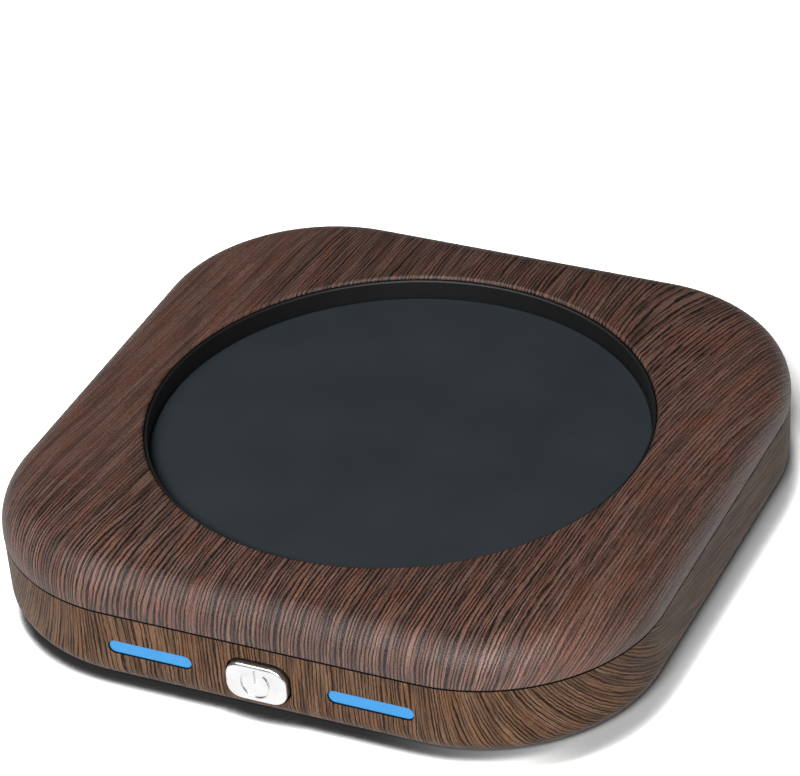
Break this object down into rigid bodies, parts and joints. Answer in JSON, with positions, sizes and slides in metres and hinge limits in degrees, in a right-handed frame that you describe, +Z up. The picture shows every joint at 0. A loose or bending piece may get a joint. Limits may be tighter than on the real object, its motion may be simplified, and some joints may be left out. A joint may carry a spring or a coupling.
{
  "type": "electric mug warmer",
  "caption": "Rounded-square wood-effect electric mug warmer with a round recessed heating plate, a press power button and slim front light bars.",
  "frame": {"origin": "centre of the footprint, on the table that the rubber feet stand on", "axes": "+Z up; -Y towards the power button; +X to the right seen from the button's side"},
  "size_m": [0.13, 0.1324, 0.0255],
  "materials": {
    "wood_film": "satin printed wood-grain film over moulded ABS",
    "black_nylon": "fine matt moulding",
    "plate_coating": "matt heat-resistant coating on aluminium",
    "silicone": "matt moulded silicone",
    "mica": "pressed mica sheet",
    "ceramic_fibre": "felted ceramic fibre",
    "zinc_steel": "zinc-plated sheet and screws",
    "chrome": "chrome-plated satin button",
    "light_guide": "blue translucent polycarbonate",
    "led_package": "white moulded package",
    "circuit_board": "solder-resist coated glass laminate",
    "component_black": "moulded epoxy",
    "component_blue": "dipped epoxy coating",
    "component_yellow": "moulded box",
    "connector_white": "moulded nylon",
    "terminal_green": "moulded nylon",
    "can_aluminium": "drawn aluminium can",
    "glass_sleeve": "varnished glass-fibre sleeving",
    "lead_silicone": "silicone-insulated leads",
    "lead_black": "insulated thin leads"
  },
  "bodies": {
    "case": {"top_cover": "wood_film", "lower_housing": "wood_film", "recess_liner": "black_nylon", "plate_seal": "silicone", "heating_plate": "plate_coating", "heater_element": "mica", "insulation_pad": "ceramic_fibre", "clamp_plate": "zinc_steel", "clamp_screws": "zinc_steel", "temperature_sensor": "can_aluminium", "sensor_clip": "zinc_steel", "clip_rivets": "zinc_steel", "thermal_fuse": "can_aluminium", "fuse_sleeve": "glass_sleeve", "fuse_clip": "zinc_steel", "control_board": "circuit_board", "board_screws": "zinc_steel", "heater_terminal": "terminal_green", "input_terminal": "terminal_green", "mains_fuse": "component_black", "varistor": "component_blue", "film_capacitor": "component_yellow", "reservoir_capacitor": "can_aluminium", "bridge_rectifier": "component_black", "triac": "component_black", "microcontroller": "component_black", "supply_inductor": "component_black", "sensor_socket": "connector_white", "indicator_socket": "connector_white", "harness_plug": "connector_white", "indicator_board": "circuit_board", "status_leds": "led_package", "tact_switch": "component_black", "light_baffle": "black_nylon", "light_bar_left": "light_guide", "light_bar_right": "light_guide", "heater_leads": "lead_silicone", "sensor_leads": "lead_black", "indicator_harness": "lead_black", "cord_grommet": "silicone", "cover_screws": "zinc_steel", "rubber_feet": "silicone"},
    "button": {"power_button": "chrome"},
    "plunger": {"switch_plunger": "component_black"}
  },
  "joints": [
    {"name": "power_button_press", "type": "slide", "parent": "case", "child": "button", "axis": [0, 1, 0], "range_m": [0, 0.0005], "stiffness_N_per_m": 3000, "springref_m": -0.0002},
    {"name": "plunger_press", "type": "slide", "parent": "case", "child": "plunger", "axis": [0, 1, 0], "range_m": [0, 0.0005]}
  ],
  "couplings": [
    {"joint": "plunger_press", "follows": "power_button_press", "ratio": 1}
  ]
}
